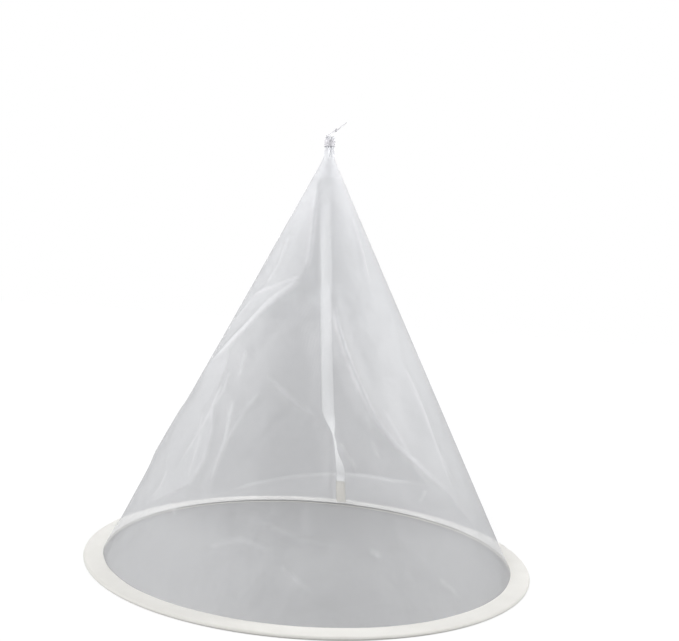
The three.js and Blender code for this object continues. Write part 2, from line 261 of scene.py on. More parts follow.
# The thread round the tip, in millimetres: its radius, the winding's radius, lowest height, rise, turns
# and points to a turn, the height at which the cone's lean sets its axis, and how uneven its radius is
THREAD_RADIUS = 0.48
WRAP_RADIUS = 4.3
WRAP_LOW = 354.4
WRAP_RISE = 6.0
WRAP_TURNS = 6
WRAP_POINTS = 28
WRAP_AXIS_HEIGHT = 357.5
WRAP_WOBBLE = 0.05
# Its way from the winding to the knot, round the knot, and on to the loose end
THREAD_TAIL = [(-3.6, -1.6, 360.9), (-2.8, -2.6, 362.4), (-1.4, -2.6, 364.2), (0.4, -1.8, 365.9),
               (2.3, -0.8, 367.3)]
THREAD_KNOT = [(3.6, 0.2, 368.4), (4.9, 0.9, 369.2), (4.9, 0.2, 370.3), (3.6, -0.7, 369.6),
               (3.4, -0.2, 368.3), (4.8, 0.5, 368.3)]
THREAD_END = [(6.4, 0.1, 369.9), (8.0, -0.2, 371.6), (9.8, 0.1, 373.3), (11.6, 0.2, 375.0),
              (13.1, 0.0, 376.6)]

# The weaves' pitches in millimetres, and the wave texture's scale for one band to a unit of length
NET_PITCH = 0.5
TAPE_PITCH = 0.7
WAVE_SCALE = 0.314159

# How much light passes one layer of net, and how much that varies over a thread and in soft clouds
NET_CLEAR = 0.6
NET_WEAVE = 0.3
NET_CLOUDS = 0.1

# The light that fills the studio, how bright its walls are when seen through the net, and its tint
WORLD_LIGHT = 0.345
WORLD_BEHIND = 0.3
WORLD_TINT = (0.97, 0.98, 1.0)

# The floor: half its side in metres, its grey through the net, and the glow and the grey that together
# make it white where the camera sees it directly
FLOOR_HALF = 6.0
FLOOR_GREY = 0.4
FLOOR_GLOW = 0.8
FLOOR_DIRECT_GREY = 0.25

# Suns: name, the way that the light goes, strength and softness in degrees
SUNS = [
    ("key_light", (0.5, 0.55, -0.62), 1.65, 24),
    ("left_light", (1.0, -0.1, -0.2), 0.25, 20),
    ("right_light", (-1.0, -0.2, -0.2), 1.3, 20),
    ("back_light", (0.05, -1.0, -0.08), 2.3, 30),
]

# Spots: name, place, aim, power in watts and spread in degrees, and the size of all of them in metres
SPOTS = [
    ("left_spot", (-1.25, 0.0, 0.6), (0.0, 0.0, 0.3), 30, 40),
    ("right_spot", (1.25, 0.1, 0.6), (0.0, 0.0, 0.3), 44, 40),
    ("tip_spot", (0.1, -1.2, 0.62), (0.0, 0.0, 0.35), 13, 18),
]
SPOT_SIZE = 0.15


def smooth(low, high, value):
    """0 up to low, 1 from high on and an even rise between them. low can be the larger of the two."""
    step = np.clip((value - low) / (high - low), 0, 1)
    return step * step * (3 - 2 * step)


def on_flat_cloth(angle, share, straight_ahead):
    """Where a point of the wall lies on the flat cloth, seen from the tip."""
    turn = (angle - straight_ahead + 180) % 360 - 180
    flat = np.radians(turn) * WALL_SINE
    return np.stack([np.cos(flat), np.sin(flat)], axis=-1) * (share * SLANT)[..., None]


def distance_to_route(angle, share, route):
    """How far each point is from a route on the flat cloth, in metres, and how far along that lies."""
    stops = np.array(route, float)
    here = on_flat_cloth(angle, share, stops[0, 0])
    there = on_flat_cloth(stops[:, 0], stops[:, 1], stops[0, 0])
    nearest = np.full(angle.shape, np.inf)
    progress = np.zeros(angle.shape)
    legs = np.linalg.norm(np.diff(there, axis=0), axis=1)
    passed = 0.0
    for start, end, leg in zip(there[:-1], there[1:], legs):
        along = end - start
        part = np.clip(((here - start) @ along) / (along @ along), 0, 1)
        gap = np.linalg.norm(here - start - part[..., None] * along, axis=-1)
        progress = np.where(gap < nearest, (passed + part * leg) / legs.sum(), progress)
        nearest = np.minimum(nearest, gap)
        passed += leg
    return nearest, progress


def crease_fade(share):
    """Creases die out at the tip and at the rim."""
    return smooth(0, CREASE_FADE, share) * smooth(0, CREASE_FADE, 1 - share)


def wall_relief(angle, share):
    """How far the wall stands out of the plain cone, in metres, for arrays of angle and share."""
    angle, share = np.broadcast_arrays(angle, share)
    total = np.zeros(angle.shape)
    for height, reach, _, route in CREASES:
        nearest, _ = distance_to_route(angle, share, route)
        total += height * MM / (1 + (nearest / (reach * MM)) ** 2) ** 1.5
    return total * crease_fade(share)


def fold_strength(angle, share):
    """How far each point lies in a sharp fold, 0 outside and up to the fold's sharpness on its top."""
    total = np.zeros(angle.shape)
    for _, _, sharpness, route in CREASES:
        if sharpness > 0:
            nearest, progress = distance_to_route(angle, share, route)
            ends = smooth(0, FOLD_ENDS[0], progress) * smooth(0, FOLD_ENDS[1], 1 - progress)
            uneven = 1 - FOLD_WAVER + FOLD_WAVER * np.sin(progress * FOLD_WAVES + route[0][0])
            across = np.exp(-(nearest / (FOLD_REACH * MM)) ** 2)
            total = np.maximum(total, sharpness * ends * uneven * across)
    return total * crease_fade(share)


def painted_shade_share(angle, share):
    """1 inside the front panel that is thinned as painted shade, 0 outside it."""
    stops = np.array(PAINTED_SHADE_PANEL, float)
    left = np.interp(share, stops[:, 0], stops[:, 1])
    right = np.interp(share, stops[:, 0], stops[:, 2])
    across = smooth(-PAINTED_SHADE_EDGE, PAINTED_SHADE_EDGE, angle - left) * smooth(-PAINTED_SHADE_EDGE, PAINTED_SHADE_EDGE, right - angle)
    return across * smooth(stops[0, 0], stops[0, 0] + PAINTED_SHADE_START, share) * (1 - smooth(*PAINTED_SHADE_END, share))


def wall_coordinates(places):
    """The angle and the share of the way down for places on the wall."""
    lean = TIP_LEAN * (1 - (TIP_HEIGHT - places[:, 2]) / DROP)
    across = places[:, 0] - lean
    radius = np.hypot(across, places[:, 1])
    share = (radius * WALL_SINE + (TIP_HEIGHT - places[:, 2]) * WALL_COSINE) / SLANT
    return np.degrees(np.arctan2(places[:, 1], across)), share


def wall_point(angle, share, relief):
    """Places on the cone's wall, which stands out of the plain cone by the relief."""
    turn = np.radians(angle)
    radius = share * MOUTH + relief * WALL_COSINE
    height = TIP_HEIGHT - share * DROP + relief * WALL_SINE
    lean = TIP_LEAN * (1 - share)
    return np.stack([radius * np.cos(turn) + lean, radius * np.sin(turn), height], axis=-1)


# Small helpers
def add_mesh(name, places, faces, smooth_faces=True):
    mesh = bpy.data.meshes.new(name)
    mesh.from_pydata([tuple(map(float, p)) for p in places], [], faces)
    mesh.validate()
    mesh.update()
    if smooth_faces:
        mesh.polygons.foreach_set("use_smooth", [True] * len(mesh.polygons))
    piece = bpy.data.objects.new(name, mesh)
    bpy.context.scene.collection.objects.link(piece)
    return piece


def grid_faces(rows, columns):
    """Quads of a grid of rows by columns, which closes on itself round the columns."""
    faces = []
    for row in range(rows - 1):
        for column in range(columns):
            after = (column + 1) % columns
            a, b = row * columns + column, row * columns + after
            faces.append((a, a + columns, b + columns, b))
    return faces


def ring_faces(stations, size):
    """Quads of closed sections that follow each other round a ring."""
    faces = []
    for station in range(stations):
        after = (station + 1) % stations
        for i in range(size):
            j = (i + 1) % size
            faces.append((station * size + i, after * size + i, after * size + j, station * size + j))
    return faces


def apply_modifiers(piece):
    """Makes what the piece's modifiers do part of its mesh."""
    graph = bpy.context.evaluated_depsgraph_get()
    mesh = bpy.data.meshes.new_from_object(piece.evaluated_get(graph))
    piece.modifiers.clear()
    old = piece.data
    piece.data = mesh
    bpy.data.meshes.remove(old)


def stand_in(piece, slot, *nodes):
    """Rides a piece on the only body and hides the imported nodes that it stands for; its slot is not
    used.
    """
    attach(piece, "root")
    if nodes:
        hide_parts(*nodes)


# Cloth
def settle(places):
    """Lets the threads pull back to their cut lengths. places is rows by columns, closed round."""
    rows, columns = places.shape[:2]
    shares = np.linspace(FIRST_SHARE, 1, rows)
    loose = np.zeros((rows, 1, 1))
    loose[1:-1] = 1
    turn = 2 * math.pi / columns * WALL_SINE
    pulls = []
    for rise, run, stiff in SETTLE_PULLS:
        upper = shares[: rows - rise] * SLANT
        lower = shares[rise:] * SLANT
        length = np.sqrt(upper ** 2 + lower ** 2 - 2 * upper * lower * math.cos(turn * run))
        pulls.append((rise, run, length[:, None, None] * REST_SCALE, stiff))
    for _ in range(SETTLE_STEPS):
        push = np.zeros_like(places)
        for rise, run, length, stiff in pulls:
            first = places[: rows - rise]
            second = np.roll(places[rise:], -run, axis=1)
            gap = second - first
            size = np.linalg.norm(gap, axis=2, keepdims=True)
            move = gap * ((size - length) / size) * 0.5 * stiff
            push[: rows - rise] += move
            push[rise:] -= np.roll(move, run, axis=1)
        places = places + push * loose
    return places


def settled_wall():
    """The creased cone after the cloth has pulled itself taut between the rim and the tip."""
    grid_angle, grid_share = np.meshgrid(COLUMN_ANGLES, np.linspace(FIRST_SHARE, 1, NET_ROWS))
    places = wall_point(grid_angle, grid_share, wall_relief(grid_angle, grid_share))
    places = settle(places)
    # Takes out ripples as narrow as the grid
    for _ in range(2):
        places = (2 * places + np.roll(places, 1, axis=1) + np.roll(places, -1, axis=1)) / 4
    return places


WALL = settled_wall()


def on_wall(angle, share):
    """Places on the settled wall and the directions out of it, for arrays of angle and share."""
    column = np.asarray(angle, float) / 360 * NET_COLUMNS
    row = (np.asarray(share, float) - FIRST_SHARE) / (1 - FIRST_SHARE) * (NET_ROWS - 1)
    row = np.clip(row, 0, LAST_ROW)

    def at(r, c):
        low_r, low_c = np.floor(r).astype(int), np.floor(c).astype(int)
        part_r, part_c = (r - low_r)[..., None], (c - low_c)[..., None]
        c0, c1 = low_c % NET_COLUMNS, (low_c + 1) % NET_COLUMNS
        r1 = np.minimum(low_r + 1, NET_ROWS - 1)
        upper = WALL[low_r, c0] * (1 - part_c) + WALL[low_r, c1] * part_c
        lower = WALL[r1, c0] * (1 - part_c) + WALL[r1, c1] * part_c
        return upper * (1 - part_r) + lower * part_r

    place = at(row, column)
    round_step = at(row, column + 0.5) - at(row, column - 0.5)
    above, below = np.clip(row - 0.5, 0, None), np.clip(row + 0.5, 0, LAST_ROW)
    down_step = at(below, column) - at(above, column)
    out = np.cross(down_step, round_step)
    out /= np.linalg.norm(out, axis=-1, keepdims=True)
    return place, out


def neck_rows():
    """Rows of the gathered tip, from its ragged top down to the wall's first row."""
    turn = np.radians(COLUMN_ANGLES)
    ragged = np.random.default_rng(RAGGED_SEED).uniform(-1, 1, NET_COLUMNS)
    ragged = sum(np.roll(ragged, k) for k in range(-2, 3)) / 5
    pleats = np.cos(NECK_PLEATS[0] * turn) + 0.4 * np.cos(NECK_PLEATS[1] * turn + 1)
    rows = []
    for height, radius, pleat in NECK_PROFILE:
        share = (TIP_HEIGHT - height * MM) / DROP
        axis = np.array([TIP_LEAN * (1 - share), 0, height * MM])
        wide = (radius + pleat * pleats) * MM
        tall = ragged * RAGGED_TOP * MM if height == NECK_PROFILE[0][0] else np.zeros(NET_COLUMNS)
        rows.append(axis + np.stack([wide * np.cos(turn), wide * np.sin(turn), tall], axis=-1))
    return rows


def add_attribute(piece, name, values):
    layer = piece.data.attributes.new(name, "FLOAT_VECTOR", "POINT")
    layer.data.foreach_set("vector", np.asarray(values, np.float32).ravel())


def make_net():
    """The whole net as one sheet: the gathered neck, the creased wall and the edge inside the tape."""
    neck = np.stack(neck_rows())
    tucked = []
    for out_by, height in NET_TUCK:
        row = WALL[-1].copy()
        far = np.linalg.norm(row[:, :2], axis=1, keepdims=True)
        row[:, :2] *= (far + out_by * MM) / far
        row[:, 2] = height * MM
        tucked.append(row)
    places = np.concatenate([neck, WALL, np.stack(tucked)])
    rows = len(places)
    piece = add_mesh("net", places.reshape(-1, 3), grid_faces(rows, NET_COLUMNS))
    # Flat place on the cloth in millimetres, and how many layers lie together
    shares = np.concatenate([np.linspace(NECK_SHARE, FIRST_SHARE, len(neck) + 1)[:-1],
                             np.linspace(FIRST_SHARE, 1, NET_ROWS), TUCK_SHARES])
    flat = np.radians((COLUMN_ANGLES - FLAT_START) % 360) * WALL_SINE
    reach = (shares * SLANT / MM)[:, None]
    crowd = 1 + sum(more * smooth(start, full, shares) for more, start, full in GATHERS)
    crowd = np.broadcast_to(crowd[:, None], (rows, NET_COLUMNS))
    add_attribute(piece, "cloth", np.stack([reach * np.cos(flat), reach * np.sin(flat), crowd], axis=-1))
    finer = piece.modifiers.new("finer", "SUBSURF")
    finer.levels = finer.render_levels = 1
    apply_modifiers(piece)
    add_folds(piece)
    stand_in(piece, "net", "net_cone")
    return piece


def add_folds(piece):
    """Sharpens the creases' tops on the fine mesh, notes that more net is crossed there, and thins the net
    on the front panel as painted shade.
    """
    count = len(piece.data.vertices)
    places = np.empty(count * 3, np.float32)
    piece.data.vertices.foreach_get("co", places)
    places = places.reshape(-1, 3).astype(float)
    angle, share = wall_coordinates(places)
    fold = fold_strength(angle, share)
    turn = np.radians(angle)
    up = np.full(count, WALL_SINE)
    out = np.stack([WALL_COSINE * np.cos(turn), WALL_COSINE * np.sin(turn), up], axis=-1)
    places += out * (FOLD_RISE * MM * fold)[:, None]
    piece.data.vertices.foreach_set("co", places.astype(np.float32).ravel())
    layer = piece.data.attributes["cloth"]
    cloth = np.empty(count * 3, np.float32)
    layer.data.foreach_get("vector", cloth)
    # Fewer layers on the front panel: painted shade
    cloth[2::3] += FOLD_CROWD * fold - PAINTED_SHADE_LAYERS * painted_shade_share(angle, share)
    layer.data.foreach_set("vector", cloth)
    piece.data.update()


def tube(path, radius, sides, taper):
    """Places and faces of a closed round tube along a path. Its ends narrow to taper of its radius."""
    path = np.asarray(path, float)
    count = len(path)
    along = np.gradient(path, axis=0)
    along /= np.linalg.norm(along, axis=1, keepdims=True)
    side = np.cross(along[0], [0, 0, 1.0])
    if np.linalg.norm(side) < 0.1:
        side = np.cross(along[0], [0, 1.0, 0])
    rings = []
    turn = np.arange(sides) * 2 * math.pi / sides
    for i in range(count):
        side = side - along[i] * (side @ along[i])
        side /= np.linalg.norm(side)
        other = np.cross(along[i], side)
        size = radius * (taper if i in (0, count - 1) else 1.0)
        rings.append(path[i] + size * (np.cos(turn)[:, None] * side + np.sin(turn)[:, None] * other))
    places = np.concatenate(rings)
    faces = grid_faces(count, sides)
    faces.append(tuple(range(sides))[::-1])
    faces.append(tuple(range((count - 1) * sides, count * sides)))
    return places, faces


def joined(parts):
    """One list of places and faces from several."""
    places, faces, start = [], [], 0
    for more_places, more_faces in parts:
        places.append(more_places)
        faces += [tuple(i + start for i in face) for face in more_faces]
        start += len(more_places)
    return np.concatenate(places), faces


# Rim
def rounded_ply(height):
    """The rounded end of one ply of tape at the net, from its upper side down, as (radius, height)."""
    half = TAPE / 2
    turns = np.radians(np.linspace(90, -90, 5))
    return [(RIM_INNER + half - half * math.cos(t), height + half * math.sin(t)) for t in turns]


def rim_section():
    """The folded tape's section, closed, starting under the inner edge and going outward."""
    fold = RIM_THICK / 2
    across = np.linspace(*TAPE_FLAT, TAPE_POINTS)
    points = [(RIM_INNER + part * RIM_WIDTH, 0.0) for part in across]
    for turn in np.radians(np.linspace(-80, 80, 9)):
        points.append((RIM_OUTER - fold + fold * math.cos(turn), fold + fold * math.sin(turn)))
    points += [(RIM_INNER + part * RIM_WIDTH, RIM_THICK) for part in across[::-1]]
    points += rounded_ply(RIM_THICK - TAPE / 2)
    pocket = RIM_OUTER - fold
    points += [(pocket, RIM_THICK - TAPE), (pocket + TAPE_POCKET, fold), (pocket, TAPE)]
    points += rounded_ply(TAPE / 2)
    return np.array(points)


def stitch_groove(radius):
    """How deep the stitches pull the tape in, as a share, at a radius."""
    return np.exp(-((radius - STITCH_RADIUS) / STITCH_GROOVE) ** 2)


def make_binding():
    """The tape folded round the mouth's edge, puckered by its stitches, with the lap of its ends."""
    section = rim_section()
    radius, height = section[:, 0], section[:, 1]
    stations = STITCH_COUNT * 4
    turn = np.arange(stations) * 2 * math.pi / stations
    # How much a point of the section belongs to the upper face, the lower face and the inner edge
    upper = smooth(RIM_THICK * 0.45, RIM_THICK * 0.8, height)
    lower = 1 - smooth(0, RIM_THICK * 0.3, height)
    edge = np.clip((RIM_OUTER - radius) / RIM_WIDTH, 0, 1)[None, :] ** 2
    pucker = 0.55 + 0.45 * np.cos(turn * STITCH_COUNT)[:, None]
    sink = stitch_groove(radius)[None, :] * pucker * STITCH_SINK
    wander = np.sin(5 * turn + 1) + 0.6 * np.sin(11 * turn + 2) + 0.4 * np.sin(23 * turn)
    drift = TAPE_DRIFT * wander[:, None]
    crown = TAPE_CROWN * np.sin(np.clip((radius - RIM_INNER) / RIM_WIDTH, 0, 1) * math.pi)[None, :]
    starts, ends = (smooth(stop, stop + TAPE_LAP_EDGE, np.degrees(turn)) for stop in TAPE_LAP)
    lap = TAPE_LAP_RISE * (starts * (1 - ends))[:, None]
    ripple = TAPE_RIPPLE * np.sin(37 * turn + 3 * np.sin(5 * turn))[:, None] * (1 - edge)
    rise = upper[None, :] * (crown - sink + ripple + lap) + lower[None, :] * sink
    wide = radius[None, :] + drift * edge
    tall = height[None, :] + rise
    places = np.stack([wide * np.cos(turn)[:, None], wide * np.sin(turn)[:, None], tall], axis=-1)
    piece = add_mesh("rim_tape", places.reshape(-1, 3), ring_faces(stations, len(section)))
    legs = np.hypot(np.diff(radius, prepend=radius[0]), np.diff(height, prepend=height[0]))
    across = np.cumsum(legs) / MM
    along = turn * RIM_OUTER / MM
    cloth = np.stack(np.broadcast_arrays(along[:, None], across[None, :], np.zeros((1, 1))), axis=-1)
    add_attribute(piece, "cloth", cloth.reshape(-1, 3))
    stand_in(piece, "tape", "rim_binding")
    return piece


def make_rim_stitches():
    """One row of lockstitch on each face of the tape."""
    parts = []
    pitch = 2 * math.pi / STITCH_COUNT
    for k in range(STITCH_COUNT):
        for face_height, upward in ((RIM_THICK, 1), (0.0, -1)):
            path = []
            for step in np.linspace(-1, 1, 7):
                turn = (k + 0.5 + step * STITCH_HALF) * pitch
                bow = (1 - step ** 4) * STITCH_BOW
                level = face_height + upward * (bow - STITCH_SINK - STITCH_DIP)
                path.append((STITCH_RADIUS * math.cos(turn), STITCH_RADIUS * math.sin(turn), level))
            parts.append(tube(path, STITCH_THREAD, 6, 0.5))
    places, faces = joined(parts)
    piece = add_mesh("rim_stitches", places, faces)
    stand_in(piece, "thread")
    return piece


# Seam
def seam_at(share):
    """The seam's angle in degrees and its width in metres at a share of the way down."""
    stops = np.array(SEAM_COURSE)
    return np.interp(share, stops[:, 0], stops[:, 1]), np.interp(share, stops[:, 0], stops[:, 2]) * MM


def ribbon(course, thickness, name):
    """A flat strip along the inner side of the back wall.

    course is a list of (share of the way down, angle, width, turn out of the wall, distance from it).
    """
    rings = []
    marks = []
    travelled = 0.0
    last = None
    for share, angle, width, twist, lift in course:
        place, out = on_wall(np.array(angle), np.array(share))
        ahead = on_wall(np.array(angle), np.array(min(share + 0.004, 0.999)))[0] - place
        ahead /= np.linalg.norm(ahead)
        sideways = np.cross(ahead, out)
        across = sideways * math.cos(twist) - out * math.sin(twist)
        normal = np.cross(across, ahead)
        centre = place - out * (lift + abs(math.sin(twist)) * width / 2)
        travelled += 0 if last is None else np.linalg.norm(centre - last)
        last = centre
        ring = []
        for side in (1, -1):
            for step in np.linspace(-1, 1, RIBBON_POINTS) * side:
                bulge = thickness / 2 * math.sqrt(max(0.0, 1 - abs(step) ** 6)) * side
                ring.append(centre + across * step * width / 2 + normal * bulge)
                marks.append((travelled / MM, step * width / 2 / MM, 0))
        rings.append(np.array(ring))
    places = np.concatenate(rings)
    size = 2 * RIBBON_POINTS
    faces = grid_faces(len(rings), size)
    faces.append(tuple(range(size))[::-1])
    faces.append(tuple(range((len(rings) - 1) * size, len(rings) * size)))
    piece = add_mesh(name, places, faces)
    add_attribute(piece, "cloth", marks)
    return piece


def make_seam():
    """The doubled strip of net along the back wall, which folds up on edge low down."""
    course = []
    for share in np.linspace(*SEAM_SPAN, SEAM_STATIONS):
        angle, width = seam_at(share)
        folded = smooth(*SEAM_FOLD[:2], share) * (1 - smooth(*SEAM_FOLD[2:], share))
        twist = SEAM_FOLD_TURN * float(folded)
        lift = SEAM_LIFT + SEAM_SLACK * math.sin(share * SEAM_WAVES) ** 2
        course.append((share, angle, width, twist, lift))
    piece = ribbon(course, SEAM_THICKNESS, "seam")
    stand_in(piece, "seam", "seam_strip")
    return piece


def make_seam_tab():
    """The short end of tape over the seam's foot."""
    shares = np.linspace(*TAB_SPAN, TAB_STATIONS)
    course = [(share, SEAM_FOOT, TAB_WIDTH, 0.0, TAB_LIFT) for share in shares]
    piece = ribbon(course, TAB_THICKNESS, "seam_tape_end")
    stand_in(piece, "tape", "seam_tab")
    return piece


def make_seam_stitches():
    """Two rows of stitches that hold the seam, seen on the outer side of the net."""
    parts = []
    pitch = SEAM_STITCH_PITCH / SLANT
    bow = (1 - np.linspace(-1, 1, 5) ** 4)[:, None] * SEAM_STITCH_BOW
    for row in (-1, 1):
        for share in np.arange(*SEAM_STITCH_SPAN, pitch):
            offset = math.degrees(row * SEAM_STITCH_ASIDE / (share * MOUTH))
            steps = np.linspace(-0.4, 0.4, 5) * pitch
            place, out = on_wall(np.full(5, seam_at(share)[0] + offset), share + steps)
            parts.append(tube(place + out * bow, SEAM_STITCH_RADIUS, 5, 0.5))
    places, faces = joined(parts)
    piece = add_mesh("seam_stitches", places, faces)
    stand_in(piece, "thread")
    return piece


# Thread at the tip
def spline(points, steps):
    """A smooth curve through the points."""
    points = [np.asarray(p, float) for p in points]
    padded = [2 * points[0] - points[1]] + points + [2 * points[-1] - points[-2]]
    path = []
    for a, b, c, d in zip(padded, padded[1:], padded[2:], padded[3:]):
        for step in np.arange(steps) / steps:
            path.append(0.5 * (2 * b + (c - a) * step + (2 * a - 5 * b + 4 * c - d) * step ** 2
                               + (3 * b - a - 3 * c + d) * step ** 3))
    return path + [points[-1]]


def make_thread():
    """The thread wound round the neck, with its knot and its loose end."""
    share = (TIP_HEIGHT - WRAP_AXIS_HEIGHT * MM) / DROP
    centre = np.array([TIP_LEAN * (1 - share), 0, 0])
    path = []
    count = WRAP_TURNS * WRAP_POINTS
    for i in range(count + 1):
        turn = i / WRAP_POINTS * 2 * math.pi + math.pi * 0.5
        height = (WRAP_LOW + WRAP_RISE * i / count) * MM
        radius = (WRAP_RADIUS + WRAP_WOBBLE * math.sin(turn * 2.3)) * MM
        path.append(centre + [radius * math.cos(turn), radius * math.sin(turn), height])
    control = [np.array(point) * MM + centre for point in THREAD_TAIL + THREAD_KNOT + THREAD_END]
    path += spline([path[-1]] + control, 7)[1:]
    places, faces = tube(path, THREAD_RADIUS * MM, 8, 0.7)
    piece = add_mesh("tip_thread", places, faces)
    stand_in(piece, "thread", "apex_thread")
    return piece


net = make_net()
rim_tape = make_binding()
rim_stitches = make_rim_stitches()
seam = make_seam()
seam_tape_end = make_seam_tab()
seam_stitches = make_seam_stitches()
tip_thread = make_thread()


# Materials
def new_material(name, color, roughness):
    """A material, its node tree and its shader."""
    material = bpy.data.materials.new(name)
    material.use_nodes = True
    shader = material.node_tree.nodes["Principled BSDF"]
    shader.inputs["Base Color"].default_value = (*color, 1)
    shader.inputs["Roughness"].default_value = roughness
    return material, material.node_tree, shader


def math_node(tree, operation, *values):
    """The result of one operation on numbers and sockets."""
    node = tree.nodes.new("ShaderNodeMath")
    node.operation = operation
    for socket, value in zip(node.inputs, values):
        if isinstance(value, (int, float)):
            socket.default_value = value
        else:
            tree.links.new(value, socket)
    return node.outputs[0]


def between(tree, factor, low, high):
    """A value that goes from low to high as the factor goes from 0 to 1."""
    return math_node(tree, "MULTIPLY_ADD", factor, high - low, low)


def cloth_place(tree):
    """The place on the flat cloth in millimetres. On the net, its Z is the number of layers there."""
    source = tree.nodes.new("ShaderNodeAttribute")
    source.attribute_name = "cloth"
    return source.outputs["Vector"]


def weave_value(tree, pitch, place):
    """Crossing threads of the given pitch, from 0 in the holes to 1 on the threads."""
    waves = []
    for direction in ("X", "Y"):
        wave = tree.nodes.new("ShaderNodeTexWave")
        wave.bands_direction = direction
        wave.wave_profile = "SIN"
        wave.inputs["Scale"].default_value = WAVE_SCALE / pitch
        wave.inputs["Distortion"].default_value = 0.0
        tree.links.new(place, wave.inputs["Vector"])
        waves.append(wave.outputs["Fac"])
    return math_node(tree, "MAXIMUM", *waves)


def noise_value(tree, scale, detail, place=None):
    """Soft noise, from 0 to 1, over the given place or else over the piece's own coordinates."""
    if place is None:
        place = tree.nodes.new("ShaderNodeTexCoord").outputs["Object"]
    noise = tree.nodes.new("ShaderNodeTexNoise")
    noise.inputs["Scale"].default_value = scale
    noise.inputs["Detail"].default_value = detail
    tree.links.new(place, noise.inputs["Vector"])
    return noise.outputs["Fac"]


def add_bump(tree, shader, height, strength, distance):
    """Adds a fine relief on top of any that the shader has already."""
    bump = tree.nodes.new("ShaderNodeBump")
    if shader.inputs["Normal"].is_linked:
        tree.links.new(shader.inputs["Normal"].links[0].from_socket, bump.inputs["Normal"])
    bump.inputs["Strength"].default_value = strength
    bump.inputs["Distance"].default_value = distance
    tree.links.new(height, bump.inputs["Height"])
    tree.links.new(bump.outputs["Normal"], shader.inputs["Normal"])


def add_tint(tree, shader, factor, low, high):
    """Lets the shader's colour go from low to high with the factor."""
    mix = tree.nodes.new("ShaderNodeMix")
    mix.data_type = "RGBA"
    mix.inputs["A"].default_value = (*low, 1)
    mix.inputs["B"].default_value = (*high, 1)
    tree.links.new(factor, mix.inputs["Factor"])
    tree.links.new(mix.outputs["Result"], shader.inputs["Base Color"])


def sheer(tree, shader, solid, passing):
    """Lets a cloth be seen through where it isn't solid, and pass on part of the light on its back."""
    out = tree.nodes["Material Output"]
    through = tree.nodes.new("ShaderNodeBsdfTranslucent")
    color = shader.inputs["Base Color"]
    if color.is_linked:
        tree.links.new(color.links[0].from_socket, through.inputs["Color"])
    else:
        through.inputs["Color"].default_value = color.default_value
    clear = tree.nodes.new("ShaderNodeBsdfTransparent")
    cloth = tree.nodes.new("ShaderNodeMixShader")
    cloth.inputs["Fac"].default_value = passing
    tree.links.new(shader.outputs[0], cloth.inputs[1])
    tree.links.new(through.outputs[0], cloth.inputs[2])
    whole = tree.nodes.new("ShaderNodeMixShader")
    tree.links.new(solid, whole.inputs["Fac"])
    tree.links.new(clear.outputs[0], whole.inputs[1])
    tree.links.new(cloth.outputs[0], whole.inputs[2])
    tree.links.new(whole.outputs[0], out.inputs["Surface"])


def net_material():
    material, tree, shader = new_material("nylon_net", (0.84, 0.845, 0.86), 0.5)
    shader.inputs["Sheen Weight"].default_value = 0.7
    shader.inputs["Sheen Roughness"].default_value = 0.35
    place = cloth_place(tree)
    weave = weave_value(tree, NET_PITCH, place)
    clouds = between(tree, noise_value(tree, scale=9, detail=3), -NET_CLOUDS / 2, NET_CLOUDS / 2)
    clear = between(tree, weave, NET_CLEAR + NET_WEAVE / 2, NET_CLEAR - NET_WEAVE / 2)
    clear = math_node(tree, "ADD", clear, clouds)
    parts = tree.nodes.new("ShaderNodeSeparateXYZ")
    tree.links.new(place, parts.inputs[0])
    clear = math_node(tree, "POWER", clear, parts.outputs["Z"])
    solid = math_node(tree, "SUBTRACT", 1.0, clear)
    swell = noise_value(tree, scale=0.028, detail=3, place=place)
    add_bump(tree, shader, swell, strength=0.6, distance=0.012)
    add_bump(tree, shader, weave, strength=0.3, distance=0.0002)
    patches = noise_value(tree, scale=14, detail=4)
    add_tint(tree, shader, patches, (0.82, 0.825, 0.845), (0.87, 0.875, 0.89))
    sheer(tree, shader, solid, passing=0.4)
    return material


def tape_material():
    material, tree, shader = new_material("cream_tape", (0.8, 0.785, 0.74), 0.85)
    shader.inputs["Sheen Weight"].default_value = 0.3
    weave = weave_value(tree, TAPE_PITCH, cloth_place(tree))
    threads = math_node(tree, "MULTIPLY", weave, 0.5)
    patches = math_node(tree, "MULTIPLY", noise_value(tree, scale=60, detail=4), 0.5)
    uneven = math_node(tree, "ADD", threads, patches)
    add_tint(tree, shader, uneven, (0.78, 0.76, 0.71), (0.92, 0.905, 0.86))
    add_bump(tree, shader, weave, strength=0.5, distance=0.0003)
    return material


def seam_material():
    material, tree, shader = new_material("layered_net", (0.97, 0.973, 0.975), 0.55)
    weave = weave_value(tree, NET_PITCH, cloth_place(tree))
    add_bump(tree, shader, weave, strength=0.35, distance=0.0002)
    sheer(tree, shader, between(tree, weave, 0.89, 0.95), passing=0.65)
    return material


def tab_material():
    material, tree, shader = new_material("thin_tape", (0.96, 0.945, 0.9), 0.8)
    weave = weave_value(tree, TAPE_PITCH, cloth_place(tree))
    add_bump(tree, shader, weave, strength=0.5, distance=0.0003)
    sheer(tree, shader, between(tree, weave, 0.95, 0.99), passing=0.5)
    return material


def thread_material():
    material, tree, shader = new_material("sewing_thread", (0.8, 0.79, 0.82), 0.6)
    shader.inputs["Sheen Weight"].default_value = 0.3
    grain = noise_value(tree, scale=2500, detail=2)
    add_tint(tree, shader, grain, (0.86, 0.85, 0.88), (0.97, 0.96, 0.98))
    add_bump(tree, shader, grain, strength=0.2, distance=0.00002)
    sheer(tree, shader, between(tree, grain, 0.97, 0.99), passing=0.25)
    return material


def hoop_material():
    material, tree, shader = new_material("hoop_strip", (0.72, 0.72, 0.7), 0.4)
    grain = noise_value(tree, scale=300, detail=3)
    add_tint(tree, shader, grain, (0.68, 0.68, 0.66), (0.76, 0.76, 0.74))
    add_bump(tree, shader, grain, strength=0.2, distance=0.0001)
    return material


def wear(piece, material):
    piece.data.materials.clear()
    piece.data.materials.append(material)


